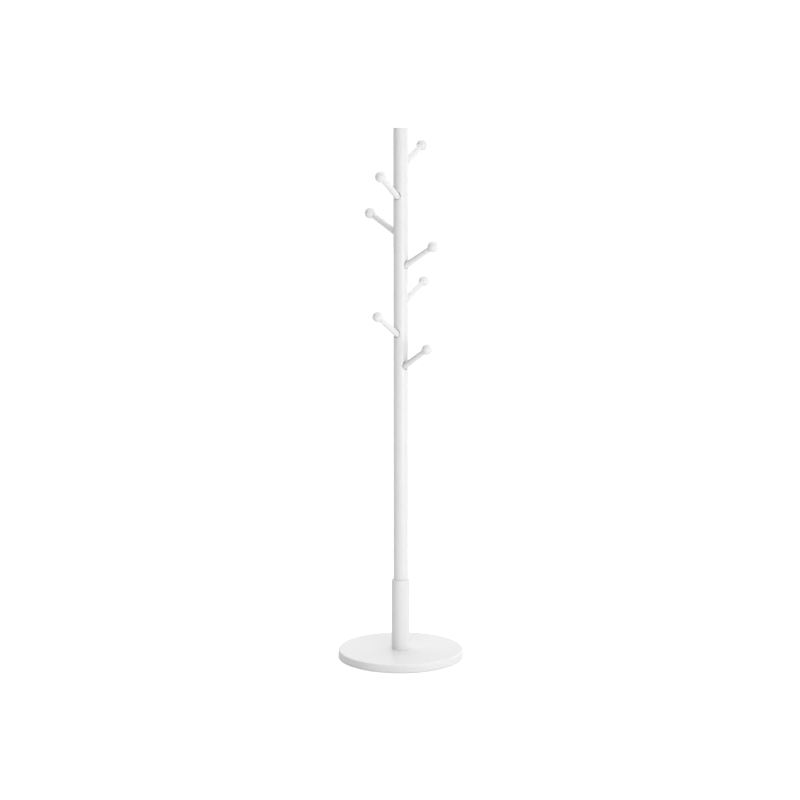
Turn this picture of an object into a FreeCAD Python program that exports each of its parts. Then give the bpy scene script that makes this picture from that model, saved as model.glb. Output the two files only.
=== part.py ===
import FreeCAD, Part
import math
import os

# A standing coat rack: a round base board, a sleeve that holds the foot of a round pole made of
# three sections, and seven ball-ended pegs that screw into slanting sockets round the pole.
# Millimetres and degrees. The origin is on the floor, on the pole's axis, and +Z is up.

# Base board and the felt pads that it stands on
BASE_RADIUS = 200.0
BASE_THICKNESS = 25.0
BASE_TOP_ROUNDING = 4.0
BASE_BOTTOM_ROUNDING = 1.0
PAD_RADIUS = 15.0
PAD_THICKNESS = 1.0
PAD_RING_RADIUS = 165.0
PAD_COUNT = 6

# Pole: equal sections, the lowest one standing in the sleeve
TOTAL_HEIGHT = 1680.0
POLE_RADIUS = 23.0
SECTION_LENGTH = 500.0
SECTION_NAMES = ("pole_lower", "pole_middle", "pole_upper")
SEAM_CHAMFER = 0.3
POLE_TOP_ROUNDING = 1.0

# Sleeve round the foot of the pole
SLEEVE_RADIUS = 29.0
SLEEVE_TOP = 252.0
SLEEVE_RIM_ROUNDING = 3.0
SLEEVE_MOUTH_CHAMFER = 1.2
SLEEVE_FOOT_CHAMFER = 0.5
SLEEVE_CLEARANCE = 0.3

# Pegs: one slope and one shape, each with its own direction and height. A direction is the angle
# from +X towards +Y, and a height is where the peg's axis crosses the pole's axis.
PEG_SLOPE = 31.0
PEG_DIRECTIONS = (55.5, 238.5, 145.0, 327.0, 51.5, 233.0, 313.5)
PEG_HEIGHTS = (1560.0, 1458.0, 1346.5, 1244.0, 1130.0, 1029.5, 928.0)
PEG_REACH = 118.0
PEG_ROOT_RADIUS = 10.0
PEG_NECK_RADIUS = 8.5
PEG_BALL_RADIUS = 17.0
PEG_NECK_FILLET = 6.0
PEG_BUTT_CHAMFER = 0.5
PEG_TAPER_START = 30.0
SOCKET_RADIUS = 11.5
SOCKET_FLOOR = 8.0

# Hanger bolt and threaded insert of a peg, measured along the peg's axis from the pole's axis
PEG_BOLT_RADIUS = 3.0
PEG_BOLT_START = -5.0
PEG_BOLT_END = 40.0
PEG_BOLT_TIP = 4.0
PEG_INSERT_RADIUS = 6.0
PEG_INSERT_START = -6.0

# Studs and threaded inserts that draw the sleeve and the pole's sections together
STUD_RADIUS = 5.0
STUD_INSERT_RADIUS = 7.0
STUD_INSERT_LENGTH = 22.0
STUD_END_GAP = 1.0

# Bolt, washer, insert and dowels that hold the sleeve on the base board
BASE_BOLT_RADIUS = 5.0
BASE_BOLT_LENGTH = 45.0
BASE_BOLT_HEAD_RADIUS = 9.0
BASE_BOLT_HEAD_HEIGHT = 5.5
BASE_BOLT_HEAD_EDGE = 1.5
BASE_BOLT_KEY_WIDTH = 6.0
BASE_BOLT_KEY_DEPTH = 3.5
BASE_BOLT_HOLE_RADIUS = 5.5
BASE_COUNTERBORE_RADIUS = 13.0
BASE_COUNTERBORE_DEPTH = 9.0
BASE_WASHER_RADIUS = 12.0
BASE_WASHER_BORE_RADIUS = 5.25
BASE_WASHER_THICKNESS = 2.0
BASE_INSERT_LENGTH = 30.0
DOWEL_RADIUS = 4.0
DOWEL_LENGTH = 30.0
DOWEL_DEPTH_IN_BASE = 13.0
DOWEL_END_CHAMFER = 1.0
DOWEL_RING_RADIUS = 18.0
DOWEL_COUNT = 2
BORE_END_GAP = 2.0

# Threads, as rings: (pitch, depth). The shares say how much of a pitch the crest's flat and the
# whole ring take up.
MACHINE_THREAD = (1.5, 0.75)
FINE_THREAD = (1.0, 0.5)
WOOD_THREAD = (2.5, 0.8)
CREST_SHARE = 0.2
RING_SHARE = 0.8

# Heights that follow from the sizes above
BASE_BOTTOM = PAD_THICKNESS
BASE_TOP = PAD_THICKNESS + BASE_THICKNESS
POLE_BOTTOM = TOTAL_HEIGHT - SECTION_LENGTH * len(SECTION_NAMES)
WASHER_BOTTOM = BASE_BOTTOM + BASE_COUNTERBORE_DEPTH - BASE_WASHER_THICKNESS

ORIGIN = FreeCAD.Vector(0, 0, 0)
AXIS_Y = FreeCAD.Vector(0, 1, 0)
AXIS_Z = FreeCAD.Vector(0, 0, 1)


def line(start, end):
    """A straight edge of a turned outline, between (radius, height) points."""
    return Part.LineSegment(FreeCAD.Vector(start[0], 0, start[1]), FreeCAD.Vector(end[0], 0, end[1])).toShape()


def arc_point(centre, radius, degrees):
    """The (radius, height) point at an angle on an arc of a turned outline."""
    angle = math.radians(degrees)
    return (centre[0] + radius * math.cos(angle), centre[1] + radius * math.sin(angle))


def arc(centre, radius, start, end):
    """An arc of a turned outline, from one angle to another."""
    points = [arc_point(centre, radius, angle) for angle in (start, (start + end) / 2, end)]
    return Part.Arc(*[FreeCAD.Vector(point[0], 0, point[1]) for point in points]).toShape()


def turned(edges):
    """The solid that a closed outline sweeps round the Z axis."""
    return Part.Face(Part.Wire(edges)).revolve(ORIGIN, AXIS_Z, 360)


def turned_polygon(points):
    """A turned solid whose outline is straight from point to point."""
    return turned([line(start, end) for start, end in zip(points, points[1:] + points[:1])])


def cylinder(radius, low, high):
    """A cylinder on the Z axis between two heights."""
    return Part.makeCylinder(radius, high - low, FreeCAD.Vector(0, 0, low))


def tube(outer, inner, low, high):
    """A plain tube on the Z axis."""
    return turned_polygon([(inner, low), (outer, low), (outer, high), (inner, high)])


def thread_points(crest, thread, low, high):
    """Outline of thread rings up a shank, whose crests are short flats at the crest radius."""
    pitch, depth = thread
    count = int((high - low) / pitch)
    start = (low + high - count * pitch) / 2
    points = [(crest - depth, low)]
    for ring in range(count):
        middle = start + (ring + 0.5) * pitch
        points.append((crest - depth, middle - pitch * RING_SHARE / 2))
        points.append((crest, middle - pitch * CREST_SHARE / 2))
        points.append((crest, middle + pitch * CREST_SHARE / 2))
        points.append((crest - depth, middle + pitch * RING_SHARE / 2))
    points.append((crest - depth, high))
    return points


def stud(radius, thread, low, high):
    """A headless threaded stud."""
    return turned_polygon([(0, low)] + thread_points(radius, thread, low, high) + [(0, high)])


def insert(radius, bore, low, high):
    """A threaded insert: coarse rings outside, and a bore that the stud's crests touch."""
    return turned_polygon([(bore, low)] + thread_points(radius, WOOD_THREAD, low, high) + [(bore, high)])


def hexagonal_prism(width, low, height):
    """A hexagonal prism up the Z axis, by its width across flats."""
    sides = 6
    corner_radius = width / 2 / math.cos(math.pi / sides)
    corners = []
    for corner in range(sides + 1):
        angle = 2 * math.pi * corner / sides
        corners.append(FreeCAD.Vector(corner_radius * math.cos(angle), corner_radius * math.sin(angle), low))
    return Part.Face(Part.makePolygon(corners)).extrude(FreeCAD.Vector(0, 0, height))


def one_solid(shape):
    """The single solid that a cut leaves."""
    solids = shape.Solids
    assert len(solids) == 1, "a cut split a piece"
    return solids[0]


def on_peg_axis(shape, index):
    """Turn a shape built up the Z axis so that it lies on a peg's axis."""
    placed = shape.copy()
    placed.rotate(ORIGIN, AXIS_Y, 90 - PEG_SLOPE)
    placed.rotate(ORIGIN, AXIS_Z, PEG_DIRECTIONS[index])
    placed.translate(FreeCAD.Vector(0, 0, PEG_HEIGHTS[index]))
    return placed


def round_the_axis(shape, radius, index, count):
    """A copy of a shape at one of several even places on a circle round the Z axis."""
    placed = shape.copy()
    placed.translate(FreeCAD.Vector(radius, 0, 0))
    placed.rotate(ORIGIN, AXIS_Z, 360.0 * index / count)
    return placed


def felt_pad():
    return cylinder(PAD_RADIUS, 0, PAD_THICKNESS)


def dowel_low():
    return BASE_TOP - DOWEL_DEPTH_IN_BASE


def dowel():
    """A round wood dowel with chamfered ends."""
    low = dowel_low()
    high = low + DOWEL_LENGTH
    inner = DOWEL_RADIUS - DOWEL_END_CHAMFER
    return turned_polygon([
        (0, low), (inner, low), (DOWEL_RADIUS, low + DOWEL_END_CHAMFER),
        (DOWEL_RADIUS, high - DOWEL_END_CHAMFER), (inner, high), (0, high),
    ])


def dowel_hole(low, high):
    return cylinder(DOWEL_RADIUS, low, high)


def base_disc():
    """Round board with softened edges, a counterbored bolt hole and dowel holes."""
    top_inner = BASE_RADIUS - BASE_TOP_ROUNDING
    bottom_inner = BASE_RADIUS - BASE_BOTTOM_ROUNDING
    board = turned([
        line((0, BASE_BOTTOM), (bottom_inner, BASE_BOTTOM)),
        arc((bottom_inner, BASE_BOTTOM + BASE_BOTTOM_ROUNDING), BASE_BOTTOM_ROUNDING, -90, 0),
        line((BASE_RADIUS, BASE_BOTTOM + BASE_BOTTOM_ROUNDING), (BASE_RADIUS, BASE_TOP - BASE_TOP_ROUNDING)),
        arc((top_inner, BASE_TOP - BASE_TOP_ROUNDING), BASE_TOP_ROUNDING, 0, 90),
        line((top_inner, BASE_TOP), (0, BASE_TOP)),
        line((0, BASE_TOP), (0, BASE_BOTTOM)),
    ])
    cuts = [
        cylinder(BASE_BOLT_HOLE_RADIUS, BASE_BOTTOM, BASE_TOP),
        cylinder(BASE_COUNTERBORE_RADIUS, BASE_BOTTOM, BASE_BOTTOM + BASE_COUNTERBORE_DEPTH),
    ]
    hole = dowel_hole(dowel_low() - BORE_END_GAP / 2, BASE_TOP)
    cuts += [round_the_axis(hole, DOWEL_RING_RADIUS, index, DOWEL_COUNT) for index in range(DOWEL_COUNT)]
    return one_solid(board.cut(cuts))


def foot_sleeve():
    """Turned sleeve with a rounded rim, a blind socket for the pole and bores for its hardware."""
    socket = POLE_RADIUS + SLEEVE_CLEARANCE
    rim = SLEEVE_RADIUS - SLEEVE_RIM_ROUNDING
    sleeve = turned([
        line((0, BASE_TOP), (SLEEVE_RADIUS - SLEEVE_FOOT_CHAMFER, BASE_TOP)),
        line((SLEEVE_RADIUS - SLEEVE_FOOT_CHAMFER, BASE_TOP), (SLEEVE_RADIUS, BASE_TOP + SLEEVE_FOOT_CHAMFER)),
        line((SLEEVE_RADIUS, BASE_TOP + SLEEVE_FOOT_CHAMFER), (SLEEVE_RADIUS, SLEEVE_TOP - SLEEVE_RIM_ROUNDING)),
        arc((rim, SLEEVE_TOP - SLEEVE_RIM_ROUNDING), SLEEVE_RIM_ROUNDING, 0, 90),
        line((rim, SLEEVE_TOP), (socket + SLEEVE_MOUTH_CHAMFER, SLEEVE_TOP)),
        line((socket + SLEEVE_MOUTH_CHAMFER, SLEEVE_TOP), (socket, SLEEVE_TOP - SLEEVE_MOUTH_CHAMFER)),
        line((socket, SLEEVE_TOP - SLEEVE_MOUTH_CHAMFER), (socket, POLE_BOTTOM)),
        line((socket, POLE_BOTTOM), (0, POLE_BOTTOM)),
        line((0, POLE_BOTTOM), (0, BASE_TOP)),
    ])
    cuts = [
        cylinder(STUD_INSERT_RADIUS, BASE_TOP, BASE_TOP + BASE_INSERT_LENGTH + BORE_END_GAP),
        cylinder(STUD_INSERT_RADIUS, POLE_BOTTOM - STUD_INSERT_LENGTH - BORE_END_GAP, POLE_BOTTOM),
    ]
    hole = dowel_hole(BASE_TOP, dowel_low() + DOWEL_LENGTH + BORE_END_GAP / 2)
    cuts += [round_the_axis(hole, DOWEL_RING_RADIUS, index, DOWEL_COUNT) for index in range(DOWEL_COUNT)]
    return one_solid(sleeve.cut(cuts))


def peg_socket(index):
    """The slanting hole for a peg, and the narrower bore for its insert below the socket's floor."""
    reach_past_surface = 2 * POLE_RADIUS
    hole = cylinder(SOCKET_RADIUS, SOCKET_FLOOR, reach_past_surface)
    bore = cylinder(PEG_INSERT_RADIUS, PEG_INSERT_START - BORE_END_GAP / 2, SOCKET_FLOOR)
    return [on_peg_axis(hole, index), on_peg_axis(bore, index)]


def section_low(index):
    return POLE_BOTTOM + SECTION_LENGTH * index


def pole_section(index):
    """One length of the pole, with bores for its studs and sockets for the pegs that it carries."""
    low = section_low(index)
    high = low + SECTION_LENGTH
    is_top = index == len(SECTION_NAMES) - 1
    body = [
        line((0, low), (POLE_RADIUS - SEAM_CHAMFER, low)),
        line((POLE_RADIUS - SEAM_CHAMFER, low), (POLE_RADIUS, low + SEAM_CHAMFER)),
    ]
    if is_top:
        inner = POLE_RADIUS - POLE_TOP_ROUNDING
        body.append(line((POLE_RADIUS, low + SEAM_CHAMFER), (POLE_RADIUS, high - POLE_TOP_ROUNDING)))
        body.append(arc((inner, high - POLE_TOP_ROUNDING), POLE_TOP_ROUNDING, 0, 90))
    else:
        inner = POLE_RADIUS - SEAM_CHAMFER
        body.append(line((POLE_RADIUS, low + SEAM_CHAMFER), (POLE_RADIUS, high - SEAM_CHAMFER)))
        body.append(line((POLE_RADIUS, high - SEAM_CHAMFER), (inner, high)))
    body.append(line((inner, high), (0, high)))
    body.append(line((0, high), (0, low)))
    depth = STUD_INSERT_LENGTH + BORE_END_GAP
    cuts = [cylinder(STUD_INSERT_RADIUS, low, low + depth)]
    if not is_top:
        cuts.append(cylinder(STUD_INSERT_RADIUS, high - depth, high))
    for peg_index, height in enumerate(PEG_HEIGHTS):
        if low < height < high:
            cuts += peg_socket(peg_index)
    return one_solid(turned(body).cut(cuts))


def peg():
    """A turned peg up the Z axis: straight root, gentle taper, filleted neck and a ball end."""
    ball_height = PEG_REACH / math.cos(math.radians(PEG_SLOPE))
    fillet_offset = PEG_NECK_RADIUS + PEG_NECK_FILLET
    centre_distance = PEG_BALL_RADIUS + PEG_NECK_FILLET
    neck_height = ball_height - math.sqrt(centre_distance ** 2 - fillet_offset ** 2)
    join_angle = math.degrees(math.atan2(ball_height - neck_height, -fillet_offset))
    butt = PEG_ROOT_RADIUS - PEG_BUTT_CHAMFER
    body = turned([
        line((0, SOCKET_FLOOR), (butt, SOCKET_FLOOR)),
        line((butt, SOCKET_FLOOR), (PEG_ROOT_RADIUS, SOCKET_FLOOR + PEG_BUTT_CHAMFER)),
        line((PEG_ROOT_RADIUS, SOCKET_FLOOR + PEG_BUTT_CHAMFER), (PEG_ROOT_RADIUS, PEG_TAPER_START)),
        line((PEG_ROOT_RADIUS, PEG_TAPER_START), (PEG_NECK_RADIUS, neck_height)),
        arc((fillet_offset, neck_height), PEG_NECK_FILLET, 180, join_angle),
        arc((0, ball_height), PEG_BALL_RADIUS, join_angle - 180, 90),
        line((0, ball_height + PEG_BALL_RADIUS), (0, SOCKET_FLOOR)),
    ])
    bore = cylinder(PEG_BOLT_RADIUS, SOCKET_FLOOR, PEG_BOLT_END + BORE_END_GAP)
    return one_solid(body.cut(bore))


def peg_bolt():
    """A hanger bolt: machine thread in the insert, wood thread and a point in the peg."""
    machine = thread_points(PEG_BOLT_RADIUS, FINE_THREAD, PEG_BOLT_START, SOCKET_FLOOR)
    wood = thread_points(PEG_BOLT_RADIUS, WOOD_THREAD, SOCKET_FLOOR, PEG_BOLT_END - PEG_BOLT_TIP)
    return turned_polygon([(0, PEG_BOLT_START)] + machine + wood + [(0, PEG_BOLT_END)])


def peg_insert():
    return insert(PEG_INSERT_RADIUS, PEG_BOLT_RADIUS, PEG_INSERT_START, SOCKET_FLOOR)


def base_bolt():
    """A bolt with a low domed head and a hexagonal key recess."""
    head_low = WASHER_BOTTOM - BASE_BOLT_HEAD_HEIGHT
    edge_low = WASHER_BOTTOM - BASE_BOLT_HEAD_EDGE
    crown = BASE_BOLT_HEAD_HEIGHT - BASE_BOLT_HEAD_EDGE
    flat = BASE_BOLT_HEAD_RADIUS - crown
    shank_high = WASHER_BOTTOM + BASE_BOLT_LENGTH
    shank = thread_points(BASE_BOLT_RADIUS, MACHINE_THREAD, BASE_TOP, shank_high)
    outline = [(BASE_BOLT_HEAD_RADIUS, WASHER_BOTTOM), (BASE_BOLT_RADIUS, WASHER_BOTTOM)]
    outline += [(BASE_BOLT_RADIUS, BASE_TOP)] + shank
    outline += [(0, shank_high), (0, head_low), (flat, head_low)]
    edges = [line(start, end) for start, end in zip(outline, outline[1:])]
    edges.append(arc((flat, edge_low), crown, -90, 0))
    edges.append(line((BASE_BOLT_HEAD_RADIUS, edge_low), (BASE_BOLT_HEAD_RADIUS, WASHER_BOTTOM)))
    return one_solid(turned(edges).cut(hexagonal_prism(BASE_BOLT_KEY_WIDTH, head_low, BASE_BOLT_KEY_DEPTH)))


def base_washer():
    high = WASHER_BOTTOM + BASE_WASHER_THICKNESS
    return tube(BASE_WASHER_RADIUS, BASE_WASHER_BORE_RADIUS, WASHER_BOTTOM, high)


def seam_hardware(name, height):
    """The stud across one joint and the two inserts that it turns in."""
    reach = STUD_INSERT_LENGTH - STUD_END_GAP
    return {
        name + "_stud": stud(STUD_RADIUS, MACHINE_THREAD, height - reach, height + reach),
        name + "_insert_bottom": insert(STUD_INSERT_RADIUS, STUD_RADIUS, height - STUD_INSERT_LENGTH, height),
        name + "_insert_top": insert(STUD_INSERT_RADIUS, STUD_RADIUS, height, height + STUD_INSERT_LENGTH),
    }


def all_nodes():
    """Every piece of the coat rack, by name."""
    nodes = {"base_disc": base_disc(), "foot_sleeve": foot_sleeve()}
    for index, name in enumerate(SECTION_NAMES):
        nodes[name] = pole_section(index)
    for index in range(len(PEG_HEIGHTS)):
        nodes["peg_%d" % (index + 1)] = on_peg_axis(peg(), index)
        nodes["peg_bolt_%d" % (index + 1)] = on_peg_axis(peg_bolt(), index)
        nodes["peg_insert_%d" % (index + 1)] = on_peg_axis(peg_insert(), index)
    for index, name in enumerate(("foot", "lower", "upper")):
        nodes.update(seam_hardware(name, section_low(index)))
    nodes["base_bolt"] = base_bolt()
    nodes["base_washer"] = base_washer()
    nodes["base_insert"] = insert(STUD_INSERT_RADIUS, BASE_BOLT_RADIUS, BASE_TOP, BASE_TOP + BASE_INSERT_LENGTH)
    for index in range(DOWEL_COUNT):
        nodes["base_dowel_%d" % (index + 1)] = round_the_axis(dowel(), DOWEL_RING_RADIUS, index, DOWEL_COUNT)
    for index in range(PAD_COUNT):
        nodes["felt_pad_%d" % (index + 1)] = round_the_axis(felt_pad(), PAD_RING_RADIUS, index, PAD_COUNT)
    return nodes


os.makedirs("parts", exist_ok=True)
for node_name, node_shape in all_nodes().items():
    assert node_shape.isValid() and len(node_shape.Solids) == 1, node_name
    node_shape.exportStep(os.path.join("parts", node_name + ".step"))
    print("%-20s %12.1f mm3" % (node_name, node_shape.Volume))
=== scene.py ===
import math

import bpy
from mathutils import Matrix, Vector


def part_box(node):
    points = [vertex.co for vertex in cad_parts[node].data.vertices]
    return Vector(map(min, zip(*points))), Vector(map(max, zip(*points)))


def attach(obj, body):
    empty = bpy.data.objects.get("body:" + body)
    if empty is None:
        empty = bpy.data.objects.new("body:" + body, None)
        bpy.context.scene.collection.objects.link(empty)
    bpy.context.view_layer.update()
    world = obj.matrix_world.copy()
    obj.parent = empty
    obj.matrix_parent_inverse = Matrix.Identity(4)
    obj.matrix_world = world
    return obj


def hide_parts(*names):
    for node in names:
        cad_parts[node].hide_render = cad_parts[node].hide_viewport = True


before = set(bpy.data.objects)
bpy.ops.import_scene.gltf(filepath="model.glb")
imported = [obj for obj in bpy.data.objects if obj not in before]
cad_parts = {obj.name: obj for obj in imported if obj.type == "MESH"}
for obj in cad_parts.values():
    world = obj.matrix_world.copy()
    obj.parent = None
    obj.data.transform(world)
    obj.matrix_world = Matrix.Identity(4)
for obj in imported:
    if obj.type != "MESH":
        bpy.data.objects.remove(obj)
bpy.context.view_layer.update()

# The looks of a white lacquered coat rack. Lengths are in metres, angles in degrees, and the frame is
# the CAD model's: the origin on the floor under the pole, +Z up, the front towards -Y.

MM = 0.001

# Details of the pieces that the frame's boxes don't give
BASE_TOP_ROUNDING = 4.0 * MM
BASE_BOTTOM_ROUNDING = 1.0 * MM
BASE_BOLT_HOLE = 5.5 * MM
BASE_COUNTERBORE = 13.0 * MM
BASE_COUNTERBORE_DEPTH = 9.0 * MM
SLEEVE_RIM_ROUNDING = 3.0 * MM
SLEEVE_MOUTH_CHAMFER = 1.2 * MM
SLEEVE_FOOT_CHAMFER = 0.5 * MM
SLEEVE_CLEARANCE = 0.3 * MM
SEAM_CHAMFER = 0.3 * MM
POLE_TOP_ROUNDING = 1.0 * MM
STUD_BORE = 7.0 * MM
BORE_END_GAP = 2.0 * MM
PEG_SLOPE = math.radians(31.0)
PEG_ROOT = 10.0 * MM
PEG_NECK = 8.5 * MM
PEG_BALL = 17.0 * MM
PEG_NECK_FILLET = 6.0 * MM
PEG_BUTT_CHAMFER = 0.5 * MM
PEG_TAPER_START = 30.0 * MM
PEG_BOLT_BORE = 3.0 * MM
PEG_BOLT_DEPTH = 42.0 * MM
SOCKET = 11.5 * MM
SOCKET_FLOOR = 8.0 * MM
SOCKET_LIP = 0.7 * MM
INSERT_BORE = 6.0 * MM
INSERT_BORE_END = -7.0 * MM
PAD_EDGE = 0.3 * MM

# How finely the pieces are meshed: segments run round a piece, rings cross its flats and straight
# walls, and steps go round its rounded edges
BASE_SEGMENTS = 256
BASE_TOP_RINGS = 24
BASE_BOTTOM_RINGS = 12
BASE_TOP_STEPS = 10
BASE_BOTTOM_STEPS = 6
SLEEVE_SEGMENTS = 128
SLEEVE_RINGS = 12
SLEEVE_RIM_STEPS = 8
PEG_SEGMENTS = 64
PEG_ROOT_RINGS = 4
PEG_TAPER_RINGS = 16
PEG_FILLET_STEPS = 8
PEG_BALL_STEPS = 28
PAD_SEGMENTS = 96
PAD_RINGS = 6
PAD_EDGE_STEPS = 4
POLE_COLUMNS = 96
POLE_END_RINGS = 6
POLE_TOP_STEPS = 5
POLE_ROW_HEIGHT = 20.0 * MM
FLOOR_SEGMENTS = 128
# A window is the patch of a section's grid that one socket replaces. Its rings crowd towards the socket.
WINDOW_HALF_COLUMNS = 10
WINDOW_ROWS = 12
WINDOW_HALF_HEIGHT = 20.0 * MM
WINDOW_RINGS = 7
WINDOW_CROWDING = 1.3
LIP_RINGS = 4
SHARP_ANGLE = math.radians(40.0)

# The camera stands in front, a little below the pole's top, and looks down at the pole's middle
CAMERA_DISTANCE = 5.3
CAMERA_HEIGHT = 1.487
CAMERA_AIM_HEIGHT = 0.8305
CAMERA_SIDE = -0.0023
CAMERA_LENS = 76.0
SENSOR_WIDTH = 36.0

PEG_COUNT = 7
PAD_COUNT = 6
# The pole's sections from the bottom up, each with the stud that holds its lower end
SECTIONS = (("pole_lower", "foot"), ("pole_middle", "lower"), ("pole_upper", "upper"))


# ---- outlines and meshes ----

def arc(centre, radius, start, end, steps):
    """Points on an arc of an outline, from one angle in degrees to another, both ends included."""
    points = []
    for step in range(steps + 1):
        angle = math.radians(start + (end - start) * step / steps)
        points.append((centre[0] + radius * math.cos(angle), centre[1] + radius * math.sin(angle)))
    return points


def run(start, end, steps):
    """Points inside a straight run of an outline, both ends left out."""
    points = []
    for step in range(1, steps):
        share = step / steps
        points.append((start[0] + (end[0] - start[0]) * share, start[1] + (end[1] - start[1]) * share))
    return points


class Skin:
    """Vertices and faces of one piece, gathered ring by ring."""

    def __init__(self):
        self.points = []
        self.faces = []

    def point(self, place):
        self.points.append(tuple(place))
        return len(self.points) - 1

    def ring(self, places):
        return [self.point(place) for place in places]

    def circle(self, radius, height, segments):
        """A level ring, or one point where the radius is nothing."""
        if radius == 0:
            return self.ring([(0, 0, height)])
        places = []
        for step in range(segments):
            angle = 2 * math.pi * step / segments
            places.append((radius * math.cos(angle), radius * math.sin(angle), height))
        return self.ring(places)

    def bridge(self, first, second):
        """Faces that join two rings, one of which may be a single point."""
        count = max(len(first), len(second))
        for step in range(count):
            after = (step + 1) % count
            if len(first) == 1:
                self.faces.append((first[0], second[after], second[step]))
            elif len(second) == 1:
                self.faces.append((first[step], first[after], second[0]))
            else:
                self.faces.append((first[step], first[after], second[after], second[step]))

    def chain(self, rings):
        for first, second in zip(rings, rings[1:]):
            self.bridge(first, second)

    def piece(self, name):
        """The finished object: smooth, with creases at real corners and flats that stay flat."""
        mesh = bpy.data.meshes.new(name)
        mesh.from_pydata(self.points, [], self.faces)
        mesh.validate()
        mesh.shade_smooth()
        mesh.set_sharp_from_angle(angle=SHARP_ANGLE)
        made = bpy.data.objects.new(name, mesh)
        bpy.context.scene.collection.objects.link(made)
        weighted = made.modifiers.new("weighted_normals", "WEIGHTED_NORMAL")
        weighted.keep_sharp = True
        return made


def turned(name, outline, segments):
    """A piece that a (radius, height) outline sweeps round Z, from the axis below to the axis above."""
    skin = Skin()
    skin.chain([skin.circle(radius, height, segments) for radius, height in outline])
    return skin.piece(name)


def stands_for(piece, node, material):
    """The piece takes a CAD node's place on the rack's one body."""
    piece.data.materials.append(material)
    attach(piece, "root")
    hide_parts(node)


# ---- the white pieces ----

def make_base():
    """The base board: softened rim, bolt hole and counterbore underneath."""
    low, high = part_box("base_disc")
    radius = (high.x - low.x) / 2
    top_inner = radius - BASE_TOP_ROUNDING
    bottom_inner = radius - BASE_BOTTOM_ROUNDING
    ceiling = low.z + BASE_COUNTERBORE_DEPTH
    outline = [(BASE_BOLT_HOLE, high.z), (BASE_BOLT_HOLE, ceiling), (BASE_COUNTERBORE, ceiling)]
    outline += [(BASE_COUNTERBORE, low.z)]
    outline += run((BASE_COUNTERBORE, low.z), (bottom_inner, low.z), BASE_BOTTOM_RINGS)
    bottom_centre = (bottom_inner, low.z + BASE_BOTTOM_ROUNDING)
    outline += arc(bottom_centre, BASE_BOTTOM_ROUNDING, -90, 0, BASE_BOTTOM_STEPS)
    top_centre = (top_inner, high.z - BASE_TOP_ROUNDING)
    outline += arc(top_centre, BASE_TOP_ROUNDING, 0, 90, BASE_TOP_STEPS)
    outline += run((top_inner, high.z), (BASE_BOLT_HOLE, high.z), BASE_TOP_RINGS)
    skin = Skin()
    rings = [skin.circle(ring_radius, height, BASE_SEGMENTS) for ring_radius, height in outline]
    skin.chain(rings + rings[:1])
    return skin.piece("base_board")


def make_sleeve():
    """The sleeve: rounded rim, socket for the pole, and bores for its inserts."""
    low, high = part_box("foot_sleeve")
    pole_low, pole_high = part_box("pole_lower")
    insert_low, insert_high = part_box("foot_insert_bottom")
    base_insert_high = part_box("base_insert")[1]
    radius = (high.x - low.x) / 2
    socket = (pole_high.x - pole_low.x) / 2 + SLEEVE_CLEARANCE
    rim = radius - SLEEVE_RIM_ROUNDING
    foot = (radius, low.z + SLEEVE_FOOT_CHAMFER)
    shoulder = (radius, high.z - SLEEVE_RIM_ROUNDING)
    bore_top = base_insert_high.z + BORE_END_GAP
    bore_bottom = insert_low.z - BORE_END_GAP
    outline = [(0, bore_top), (STUD_BORE, bore_top), (STUD_BORE, low.z)]
    outline += [(radius - SLEEVE_FOOT_CHAMFER, low.z), foot]
    outline += run(foot, shoulder, SLEEVE_RINGS)
    outline += arc((rim, shoulder[1]), SLEEVE_RIM_ROUNDING, 0, 90, SLEEVE_RIM_STEPS)
    outline += [(socket + SLEEVE_MOUTH_CHAMFER, high.z), (socket, high.z - SLEEVE_MOUTH_CHAMFER)]
    outline += [(socket, pole_low.z), (STUD_BORE, pole_low.z), (STUD_BORE, bore_bottom), (0, bore_bottom)]
    return turned("sleeve", outline, SLEEVE_SEGMENTS)


class Peg:
    """Where one peg lies: its frame has Z along the peg, from the pole's axis outwards."""

    def __init__(self, number):
        self.number = number
        low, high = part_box("peg_%d" % number)
        # the ball is the peg's outermost and highest part, so its centre is one radius inside the box
        far_x = high.x if abs(high.x) > abs(low.x) else low.x
        far_y = high.y if abs(high.y) > abs(low.y) else low.y
        x = far_x - math.copysign(PEG_BALL, far_x)
        y = far_y - math.copysign(PEG_BALL, far_y)
        self.reach = math.hypot(x, y)
        self.direction = math.atan2(y, x)
        self.height = high.z - PEG_BALL - self.reach * math.tan(PEG_SLOPE)
        self.ball_height = self.reach / math.cos(PEG_SLOPE)
        lean = Matrix.Rotation(math.pi / 2 - PEG_SLOPE, 4, "Y")
        turn = Matrix.Rotation(self.direction, 4, "Z")
        self.matrix = Matrix.Translation((0, 0, self.height)) @ turn @ lean

    def surface_height(self, radius, turn, pole_radius):
        """How far out along the peg a line at this radius and turn leaves the pole's round surface."""
        across = radius * math.cos(turn)
        up = radius * math.sin(turn)
        outward = math.sqrt(pole_radius ** 2 - across ** 2)
        return (outward + up * math.sin(PEG_SLOPE)) / math.cos(PEG_SLOPE)

    def place(self, radius, turn, along):
        """A point beside the peg's axis, in the rack's frame: turn 0 is level, a quarter turn is up."""
        across = radius * math.cos(turn)
        up = radius * math.sin(turn)
        local = Vector((-up, across, along))
        return self.matrix @ local


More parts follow.
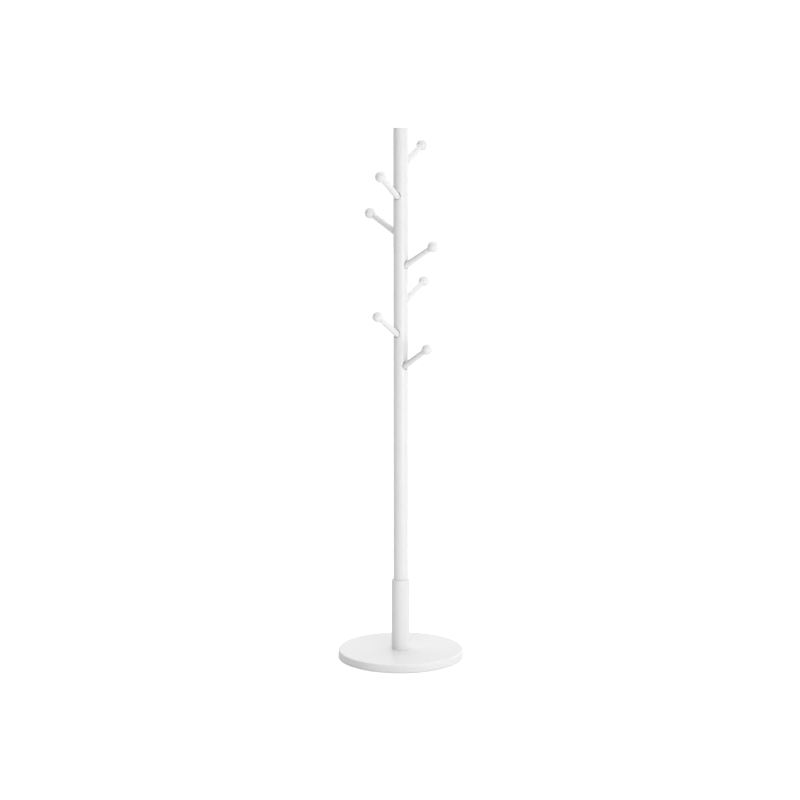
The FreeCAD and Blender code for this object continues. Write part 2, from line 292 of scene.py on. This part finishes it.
def make_peg(peg):
    """A turned peg in its own frame: root, taper, filleted neck and ball, with its bolt's bore."""
    fillet_offset = PEG_NECK + PEG_NECK_FILLET
    neck_height = peg.ball_height - math.sqrt((PEG_BALL + PEG_NECK_FILLET) ** 2 - fillet_offset ** 2)
    # the fillet and the ball touch on the line between their centres, at this angle on the fillet
    join = math.degrees(math.atan2(peg.ball_height - neck_height, -fillet_offset))
    taper_start = (PEG_ROOT, PEG_TAPER_START)
    taper_end = (PEG_NECK, neck_height)
    root = (PEG_ROOT, SOCKET_FLOOR + PEG_BUTT_CHAMFER)
    outline = [(0, PEG_BOLT_DEPTH), (PEG_BOLT_BORE, PEG_BOLT_DEPTH), (PEG_BOLT_BORE, SOCKET_FLOOR)]
    outline += [(PEG_ROOT - PEG_BUTT_CHAMFER, SOCKET_FLOOR), root]
    outline += run(root, taper_start, PEG_ROOT_RINGS)
    outline += [taper_start]
    outline += run(taper_start, taper_end, PEG_TAPER_RINGS)
    outline += arc((fillet_offset, neck_height), PEG_NECK_FILLET, 180, join, PEG_FILLET_STEPS)
    outline += arc((0, peg.ball_height), PEG_BALL, join - 180, 90, PEG_BALL_STEPS)[1:-1]
    outline += [(0, peg.ball_height + PEG_BALL)]
    made = turned("turned_peg_%d" % peg.number, outline, PEG_SEGMENTS)
    made.matrix_world = peg.matrix
    return made


def pole_rows(low, high, pegs, radius):
    """Heights of a section's rows, even through each peg's window, and each window's first row."""
    windows = sorted((peg.height + radius * math.tan(PEG_SLOPE), peg.number) for peg in pegs)
    rows = [low]
    first_rows = {}
    for centre, number in windows + [(high + WINDOW_HALF_HEIGHT, None)]:
        target = centre - WINDOW_HALF_HEIGHT
        start = rows[-1]
        count = max(1, math.ceil((target - start) / POLE_ROW_HEIGHT))
        rows += [start + (target - start) * step / count for step in range(1, count + 1)]
        if number is None:
            return rows, first_rows
        first_rows[number] = len(rows) - 1
        step_height = 2 * WINDOW_HALF_HEIGHT / WINDOW_ROWS
        rows += [target + step_height * step for step in range(1, WINDOW_ROWS + 1)]


def window_border(first_row, middle_column):
    """The (row, column) places round a window, anticlockwise seen from outside."""
    left = middle_column - WINDOW_HALF_COLUMNS
    right = middle_column + WINDOW_HALF_COLUMNS
    last_row = first_row + WINDOW_ROWS
    places = [(first_row, column) for column in range(left, right)]
    places += [(row, right) for row in range(first_row, last_row)]
    places += [(last_row, column) for column in range(right, left, -1)]
    places += [(row, left) for row in range(last_row, first_row, -1)]
    return places


def window_rings(skin, angles, heights, peg, turns, radius):
    """Rings on the pole's round surface, from inside a window's border to near the socket's lip."""
    lip = []
    for turn in turns:
        along = peg.surface_height(SOCKET + SOCKET_LIP, turn, radius)
        lip.append(peg.place(SOCKET + SOCKET_LIP, turn, along))
    rings = []
    for ring in range(1, WINDOW_RINGS):
        share = 1 - (1 - ring / WINDOW_RINGS) ** WINDOW_CROWDING
        places = []
        for angle, height, inner in zip(angles, heights, lip):
            inner_angle = math.atan2(inner.y, inner.x)
            swing = (inner_angle - angle + math.pi) % (2 * math.pi) - math.pi
            mixed = angle + swing * share
            level = height + (inner.z - height) * share
            places.append((radius * math.cos(mixed), radius * math.sin(mixed), level))
        rings.append(skin.ring(places))
    return rings


def lip_rings(skin, peg, turns, radius):
    """Rings over the socket's rounded lip, where the pole's surface bends into the socket's wall."""
    rings = []
    for step in range(LIP_RINGS + 1):
        bend = math.pi / 2 * step / LIP_RINGS
        ring_radius = SOCKET + SOCKET_LIP * (1 - math.sin(bend))
        drop = SOCKET_LIP * (1 - math.cos(bend))
        places = []
        for turn in turns:
            along = peg.surface_height(ring_radius, turn, radius) - drop
            places.append(peg.place(ring_radius, turn, along))
        rings.append(skin.ring(places))
    return rings


def bore_rings(skin, peg, turns):
    """Rings at the foot of the socket's wall and down the insert's bore, to the bore's end."""
    rings = []
    floor_edge = (SOCKET, SOCKET_FLOOR)
    bore_edge = (INSERT_BORE, SOCKET_FLOOR)
    bore_end = (INSERT_BORE, INSERT_BORE_END)
    for ring_radius, along in (floor_edge, bore_edge, bore_end):
        rings.append(skin.ring([peg.place(ring_radius, turn, along) for turn in turns]))
    rings.append(skin.ring([peg.place(0, 0, INSERT_BORE_END)]))
    return rings


def socket_rings(skin, angles, heights, peg, radius):
    """All the rings inside a window: the pole's surface, the socket's lip, its wall and the bore."""
    centre = peg.height + radius * math.tan(PEG_SLOPE)
    turns = []
    for angle, height in zip(angles, heights):
        sideways = radius * (angle - peg.direction)
        turns.append(math.atan2((height - centre) * math.cos(PEG_SLOPE), sideways))
    rings = window_rings(skin, angles, heights, peg, turns, radius)
    rings += lip_rings(skin, peg, turns, radius)
    rings += bore_rings(skin, peg, turns)
    return rings


def pole_wall(skin, rows, first_rows, pegs, radius):
    """An even grid of quads round the pole, with a socket for each peg: gives its end rings."""
    made = {}
    column_angle = 2 * math.pi / POLE_COLUMNS

    def corner(row, column):
        key = (row, column % POLE_COLUMNS)
        if key not in made:
            angle = key[1] * column_angle
            made[key] = skin.point((radius * math.cos(angle), radius * math.sin(angle), rows[row]))
        return made[key]

    holes = set()
    for peg in pegs:
        middle = round(peg.direction / column_angle)
        first_row = first_rows[peg.number]
        for row in range(first_row, first_row + WINDOW_ROWS):
            for column in range(middle - WINDOW_HALF_COLUMNS, middle + WINDOW_HALF_COLUMNS):
                holes.add((row, column % POLE_COLUMNS))
        places = window_border(first_row, middle)
        border = [corner(row, column) for row, column in places]
        angles = [column * column_angle for row, column in places]
        heights = [rows[row] for row, column in places]
        skin.chain([border] + socket_rings(skin, angles, heights, peg, radius))
    for row in range(len(rows) - 1):
        for column in range(POLE_COLUMNS):
            if (row, column) not in holes:
                skin.faces.append((corner(row, column), corner(row, column + 1),
                                   corner(row + 1, column + 1), corner(row + 1, column)))
    bottom_row = [corner(0, column) for column in range(POLE_COLUMNS)]
    top_row = [corner(len(rows) - 1, column) for column in range(POLE_COLUMNS)]
    return bottom_row, top_row


def seam_end(height, bore_end, radius):
    """The outline of an end that meets another piece, from its chamfer to the middle of its bore."""
    return [(radius - SEAM_CHAMFER, height), (STUD_BORE, height), (STUD_BORE, bore_end), (0, bore_end)]


def pole_top(height, radius):
    """The outline of the pole's closed top, from its rounded edge to its middle."""
    inner = radius - POLE_TOP_ROUNDING
    centre = (inner, height - POLE_TOP_ROUNDING)
    outline = arc(centre, POLE_TOP_ROUNDING, 0, 90, POLE_TOP_STEPS)[1:]
    outline += run((inner, height), (0, height), POLE_END_RINGS)
    outline += [(0, height)]
    return outline


def make_pole_section(name, stud, pegs):
    """One pole section, with the sockets of its pegs and a bore for a stud at each seam."""
    low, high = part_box(name)
    insert_low, insert_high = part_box("%s_insert_top" % stud)
    radius = (high.x - low.x) / 2
    bore_depth = insert_high.z - insert_low.z + BORE_END_GAP
    foot = seam_end(low.z, low.z + bore_depth, radius)
    head = seam_end(high.z, high.z - bore_depth, radius)
    wall_top = high.z - SEAM_CHAMFER
    if name == SECTIONS[-1][0]:
        head = pole_top(high.z, radius)
        wall_top = high.z - POLE_TOP_ROUNDING
    rows, first_rows = pole_rows(low.z + SEAM_CHAMFER, wall_top, pegs, radius)
    skin = Skin()
    bottom_row, top_row = pole_wall(skin, rows, first_rows, pegs, radius)
    skin.chain([skin.circle(*point, POLE_COLUMNS) for point in reversed(foot)] + [bottom_row])
    skin.chain([top_row] + [skin.circle(*point, POLE_COLUMNS) for point in head])
    return skin.piece(name.replace("pole", "pole_section"))


def make_pad(number):
    """A felt pad with a softened edge."""
    low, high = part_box("felt_pad_%d" % number)
    radius = (high.x - low.x) / 2
    inner = radius - PAD_EDGE
    outline = [(0, low.z)]
    outline += run((0, low.z), (inner, low.z), PAD_RINGS)
    outline += arc((inner, low.z + PAD_EDGE), PAD_EDGE, -90, 0, PAD_EDGE_STEPS)
    outline += arc((inner, high.z - PAD_EDGE), PAD_EDGE, 0, 90, PAD_EDGE_STEPS)
    outline += run((inner, high.z), (0, high.z), PAD_RINGS)
    outline += [(0, high.z)]
    made = turned("pad_%d" % number, outline, PAD_SEGMENTS)
    made.location = ((low.x + high.x) / 2, (low.y + high.y) / 2, 0)
    bpy.context.view_layer.update()
    return made


# ---- materials ----

class Nodes:
    """A short way to write the shader nodes of a material or of the world."""

    def __init__(self, owner):
        owner.use_nodes = True
        self.owner = owner
        self.tree = owner.node_tree

    def add(self, kind, inputs=(), **settings):
        node = self.tree.nodes.new(kind)
        for key, value in settings.items():
            setattr(node, key, value)
        for key, value in dict(inputs).items():
            self.feed(node.inputs[key], value)
        return node

    def feed(self, socket, value):
        if isinstance(value, bpy.types.NodeSocket):
            self.tree.links.new(value, socket)
        else:
            socket.default_value = value

    def stretched(self, scale):
        """The piece's own coordinates, squeezed along the axes where the pattern is long."""
        place = self.add("ShaderNodeTexCoord").outputs["Object"]
        mapping = self.add("ShaderNodeMapping", {"Vector": place, "Scale": scale})
        return mapping.outputs["Vector"]

    def noise(self, place, scale, detail, roughness=0.5):
        made = self.add("ShaderNodeTexNoise", {"Vector": place, "Scale": scale, "Detail": detail,
                                               "Roughness": roughness})
        return made.outputs["Fac"]

    def ranged(self, value, source, target):
        """The value, stretched from one (low, high) pair to another."""
        made = self.add("ShaderNodeMapRange", {"Value": value, "From Min": source[0], "From Max": source[1],
                                               "To Min": target[0], "To Max": target[1]})
        return made.outputs["Result"]

    def mixed(self, share, first, second, way="MIX"):
        made = self.add("ShaderNodeMix", {"Factor": share, "A": first, "B": second},
                        data_type="RGBA", blend_type=way)
        return made.outputs["Result"]

    def calculated(self, operation, *values):
        made = self.add("ShaderNodeMath", enumerate(values), operation=operation)
        return made.outputs["Value"]

    def bump(self, height, distance, strength, below=None):
        made = self.add("ShaderNodeBump", {"Height": height, "Distance": distance, "Strength": strength})
        if below is not None:
            self.feed(made.inputs["Normal"], below)
        return made.outputs["Normal"]

    def finished(self, **values):
        """The material, with these values on its shader's sockets."""
        shader = self.tree.nodes["Principled BSDF"]
        for key, value in values.items():
            self.feed(shader.inputs[key.replace("_", " ")], value)
        return self.owner


# A pattern's size is a number of features in a metre. A pair holds the pattern's values at the low end
# and the high end of what is used, or what they turn into.
NOISE_MIDDLE = (0.3, 0.7)
NOISE_CORE = (0.35, 0.65)
NOISE_UPPER = (0.35, 0.7)
EVENLY = (1.0, 1.0, 1.0)
FULL_RANGE = (0.0, 1.0)

WHITE = (0.77, 0.77, 0.77, 1.0)
WHITE_DULL = (0.76, 0.76, 0.757, 1.0)
WHITE_CLOUDS = 9.0
WHITE_GRAIN = 420.0
WHITE_PEEL = 320.0
WHITE_GLOSS_PATCHES = 60.0
WHITE_GRAIN_SPREAD = (0.3, 0.75)
WHITE_GRAIN_SHADE = (1.0, 0.97)
WHITE_ROUGHNESS = (0.29, 0.35)
WHITE_GRAIN_HEIGHT = 0.05 * MM
WHITE_PEEL_HEIGHT = 0.03 * MM
WHITE_RELIEF = 0.8
GRAIN_UPRIGHT = (1.0, 1.0, 0.05)
GRAIN_SIDEWAYS = (0.05, 1.0, 1.0)


def lacquer(name, grain):
    """Satin white lacquer over fine wood: a faint grain shows through, with a slight orange peel."""
    made = Nodes(bpy.data.materials.new(name))
    round_about = made.stretched(EVENLY)
    along_grain = made.stretched(grain)
    cloudy = made.noise(round_about, WHITE_CLOUDS, detail=3.0)
    streaks = made.noise(along_grain, WHITE_GRAIN, detail=4.0, roughness=0.6)
    peel = made.noise(round_about, WHITE_PEEL, detail=1.0)
    gloss = made.noise(round_about, WHITE_GLOSS_PATCHES, detail=3.0)
    tone = made.mixed(made.ranged(cloudy, NOISE_CORE, FULL_RANGE), WHITE, WHITE_DULL)
    grain_shade = made.ranged(streaks, WHITE_GRAIN_SPREAD, WHITE_GRAIN_SHADE)
    colour = made.mixed(1.0, tone, grain_shade, way="MULTIPLY")
    rough = made.ranged(gloss, NOISE_MIDDLE, WHITE_ROUGHNESS)
    relief = made.bump(streaks, WHITE_GRAIN_HEIGHT, WHITE_RELIEF)
    relief = made.bump(peel, WHITE_PEEL_HEIGHT, WHITE_RELIEF, below=relief)
    return made.finished(Base_Color=colour, Roughness=rough, Normal=relief, Specular_IOR_Level=0.5)


FELT_DARK = (0.20, 0.20, 0.195, 1.0)
FELT_LIGHT = (0.42, 0.42, 0.41, 1.0)
FELT_FIBRES = 2600.0
FELT_FIBRE_SPREAD = (0.45, 0.75)
FELT_FIBRE_HEIGHT = 0.25 * MM
FIBRES_ALONG_Y = (1.0, 0.15, 1.0)
FIBRES_ALONG_X = (0.15, 1.0, 1.0)


def felt(name):
    """Pressed grey wool felt: matted fibres in two directions and a soft sheen."""
    made = Nodes(bpy.data.materials.new(name))
    one_way = made.noise(made.stretched(FIBRES_ALONG_Y), FELT_FIBRES, detail=3.0, roughness=0.6)
    other_way = made.noise(made.stretched(FIBRES_ALONG_X), FELT_FIBRES, detail=3.0, roughness=0.6)
    fibres = made.calculated("MAXIMUM", one_way, other_way)
    share = made.ranged(fibres, FELT_FIBRE_SPREAD, FULL_RANGE)
    colour = made.mixed(share, FELT_DARK, FELT_LIGHT)
    relief = made.bump(fibres, FELT_FIBRE_HEIGHT, strength=0.9)
    return made.finished(Base_Color=colour, Roughness=0.95, Normal=relief,
                         Sheen_Weight=0.35, Sheen_Roughness=0.5)


METAL_MARKS = 900.0
METAL_BLOOM = 180.0
METAL_MARK_HEIGHT = 0.01 * MM
LEVEL_MARKS = (1.0, 1.0, 14.0)
ZINC = (0.62, 0.64, 0.68, 1.0)
ZINC_DARK = (0.50, 0.52, 0.55, 1.0)
ZINC_ROUGHNESS = (0.24, 0.42)
BRASS = (0.80, 0.60, 0.27, 1.0)
BRASS_DARK = (0.62, 0.44, 0.18, 1.0)
BRASS_ROUGHNESS = (0.28, 0.45)


def metal(name, tint, dark, roughness):
    """Plated or turned metal: fine level marks and a slightly uneven shine."""
    made = Nodes(bpy.data.materials.new(name))
    marks = made.noise(made.stretched(LEVEL_MARKS), METAL_MARKS, detail=3.0, roughness=0.55)
    bloom = made.noise(made.stretched(EVENLY), METAL_BLOOM, detail=3.0)
    colour = made.mixed(made.ranged(bloom, NOISE_UPPER, FULL_RANGE), tint, dark)
    rough = made.ranged(marks, NOISE_MIDDLE, roughness)
    relief = made.bump(marks, METAL_MARK_HEIGHT, strength=0.5)
    return made.finished(Base_Color=colour, Metallic=1.0, Roughness=rough, Normal=relief)


BEECH_DARK = (0.50, 0.31, 0.17, 1.0)
BEECH_LIGHT = (0.62, 0.42, 0.25, 1.0)
BEECH_FLECK = (0.30, 0.16, 0.08, 1.0)
BEECH_BANDS = 500.0
BEECH_FLECKS = 2200.0
BEECH_FLECK_SPREAD = (0.62, 0.75)
BEECH_FLECK_SHARE = (0.0, 0.6)
BEECH_BAND_HEIGHT = 0.05 * MM
BEECH_GRAIN = (1.0, 1.0, 0.08)


def bare_beech(name):
    """Unfinished beech: pale pinkish wood with short dark flecks along the grain."""
    made = Nodes(bpy.data.materials.new(name))
    along = made.stretched(BEECH_GRAIN)
    bands = made.noise(along, BEECH_BANDS, detail=4.0, roughness=0.6)
    flecks = made.noise(along, BEECH_FLECKS, detail=2.0)
    tone = made.mixed(made.ranged(bands, NOISE_MIDDLE, FULL_RANGE), BEECH_DARK, BEECH_LIGHT)
    colour = made.mixed(made.ranged(flecks, BEECH_FLECK_SPREAD, BEECH_FLECK_SHARE), tone, BEECH_FLECK)
    relief = made.bump(bands, BEECH_BAND_HEIGHT, strength=0.6)
    return made.finished(Base_Color=colour, Roughness=0.75, Normal=relief)


def repaint(node, material):
    """A CAD node that keeps its shape gets the better material."""
    mesh_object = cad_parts[node]
    for slot in mesh_object.material_slots:
        slot.material = material


# ---- the rack ----

def build_rack():
    turned_white = lacquer("white_lacquer_turned", GRAIN_UPRIGHT)
    board_white = lacquer("white_lacquer_board", GRAIN_SIDEWAYS)
    grey_felt = felt("grey_felt_fibres")
    stands_for(make_base(), "base_disc", board_white)
    stands_for(make_sleeve(), "foot_sleeve", turned_white)
    pegs = [Peg(number) for number in range(1, PEG_COUNT + 1)]
    for name, stud in SECTIONS:
        low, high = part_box(name)
        carried = [peg for peg in pegs if low.z < peg.height < high.z]
        stands_for(make_pole_section(name, stud, carried), name, turned_white)
    for peg in pegs:
        stands_for(make_peg(peg), "peg_%d" % peg.number, turned_white)
    for number in range(1, PAD_COUNT + 1):
        stands_for(make_pad(number), "felt_pad_%d" % number, grey_felt)


def repaint_hardware():
    """The hidden hardware keeps its CAD meshes and gets its metals and its wood."""
    zinc = metal("zinc_plate", ZINC, ZINC_DARK, ZINC_ROUGHNESS)
    brass = metal("turned_brass", BRASS, BRASS_DARK, BRASS_ROUGHNESS)
    beech = bare_beech("bare_beech_grain")
    for node, mesh_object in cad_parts.items():
        if "insert" in node:
            repaint(node, brass)
        elif "bolt" in node or "stud" in node or "washer" in node:
            repaint(node, zinc)
        elif "dowel" in node:
            repaint(node, beech)


# ---- the studio ----

FLOOR_RADIUS = 40.0
FLOOR_RINGS = 24
FLOOR_CROWDING = 3
FLOOR_CLOUDS = 3.0
FLOOR_ROUGHNESS = (0.78, 0.86)
FLOOR_COLOUR = (0.98, 0.98, 0.98, 1.0)
FLOOR_BOUNCE_COLOUR = (0.8, 0.8, 0.8, 1.0)
FLOOR_GLOW = 0.25
BACKDROP_COLOUR = (1.0, 1.0, 1.0, 1.0)
BACKDROP_STRENGTH = 1.05
PATCH_SHARPNESS = 6.0
# Each soft patch of light: its angle from +X towards +Y, its angle above the floor, and how bright it is
PATCHES = (
    (270.0, 8.0, 1.49),
    (300.0, 8.0, 0.93),
    (30.0, 8.0, 2.32),
    (120.0, 8.0, 0.78),
    (90.0, 45.0, 1.15),
    (135.0, 45.0, 0.59),
    (0.0, 90.0, 1.71),
)
LAMP_PLACE = (1.9, -2.4, 0.8)
LAMP_POWER = 22.8
LAMP_SIZE = 1.4
LAMP_AIM = (0.0, 0.0, 0.8)


def make_floor():
    """A wide pale floor.

    It throws light back as a greyer one would, to light the rack less from below, and a faint glow that
    only the camera sees softens the shadow under the base board.
    """
    skin = Skin()
    shares = [step / FLOOR_RINGS for step in range(FLOOR_RINGS + 1)]
    radii = [FLOOR_RADIUS * share ** FLOOR_CROWDING for share in shares]
    rings = [skin.circle(radius, 0.0, FLOOR_SEGMENTS) for radius in reversed(radii)]
    skin.chain(rings)
    floor = skin.piece("floor")
    paint = Nodes(bpy.data.materials.new("pale_floor"))
    soft = paint.noise(paint.stretched(EVENLY), FLOOR_CLOUDS, detail=3.0)
    rough = paint.ranged(soft, NOISE_MIDDLE, FLOOR_ROUGHNESS)
    seen = paint.add("ShaderNodeLightPath").outputs["Is Camera Ray"]
    colour = paint.mixed(seen, FLOOR_BOUNCE_COLOUR, FLOOR_COLOUR)
    glow = paint.calculated("MULTIPLY", seen, FLOOR_GLOW)
    pale = paint.finished(Base_Color=colour, Roughness=rough, Specular_IOR_Level=0.0,
                          Emission_Color=FLOOR_COLOUR, Emission_Strength=glow)
    floor.data.materials.append(pale)


def patch_direction(turn, rise):
    """The direction of a patch of light, from its two angles in degrees."""
    turn = math.radians(turn)
    rise = math.radians(rise)
    return (math.cos(turn) * math.cos(rise), math.sin(turn) * math.cos(rise), math.sin(rise))


def make_surroundings():
    """Soft light from broad bright patches all round, in front of a plain white backdrop."""
    world = bpy.data.worlds.new("studio")
    bpy.context.scene.world = world
    sky = Nodes(world)
    backdrop = sky.tree.nodes["Background"]
    sky.feed(backdrop.inputs["Color"], BACKDROP_COLOUR)
    sky.feed(backdrop.inputs["Strength"], BACKDROP_STRENGTH)
    look = sky.add("ShaderNodeTexCoord").outputs["Generated"]
    total = 0.0
    for turn, rise, strength in PATCHES:
        towards = {0: look, 1: patch_direction(turn, rise)}
        facing = sky.add("ShaderNodeVectorMath", towards, operation="DOT_PRODUCT")
        front_half = sky.calculated("MAXIMUM", facing.outputs["Value"], 0.0)
        spread = sky.calculated("POWER", front_half, PATCH_SHARPNESS)
        total = sky.calculated("MULTIPLY_ADD", spread, strength, total)
    patches = sky.add("ShaderNodeBackground", {"Color": total}).outputs["Background"]
    seen = sky.add("ShaderNodeLightPath").outputs["Is Camera Ray"]
    sides = {"Fac": seen, 1: patches, 2: backdrop.outputs["Background"]}
    chosen = sky.add("ShaderNodeMixShader", sides).outputs["Shader"]
    sky.feed(sky.tree.nodes["World Output"].inputs["Surface"], chosen)


def make_lamp():
    """A square soft box that the camera doesn't see."""
    lamp = bpy.data.lights.new("front_right_lamp", "AREA")
    lamp.size = LAMP_SIZE
    lamp.energy = LAMP_POWER
    holder = bpy.data.objects.new("front_right_lamp", lamp)
    holder.location = LAMP_PLACE
    holder.rotation_euler = (Vector(LAMP_AIM) - Vector(LAMP_PLACE)).to_track_quat("-Z", "Y").to_euler()
    holder.visible_camera = False
    bpy.context.scene.collection.objects.link(holder)


def make_studio():
    bpy.context.scene.view_settings.view_transform = "Standard"
    make_floor()
    make_surroundings()
    make_lamp()


def make_camera():
    camera = bpy.data.cameras.new("camera")
    camera.lens = CAMERA_LENS
    camera.sensor_width = SENSOR_WIDTH
    holder = bpy.data.objects.new("camera", camera)
    holder.location = (CAMERA_SIDE, -CAMERA_DISTANCE, CAMERA_HEIGHT)
    aim = Vector((CAMERA_SIDE, 0, CAMERA_AIM_HEIGHT))
    holder.rotation_euler = (aim - holder.location).to_track_quat("-Z", "Y").to_euler()
    bpy.context.scene.collection.objects.link(holder)
    bpy.context.scene.camera = holder


build_rack()
repaint_hardware()
make_studio()
make_camera()
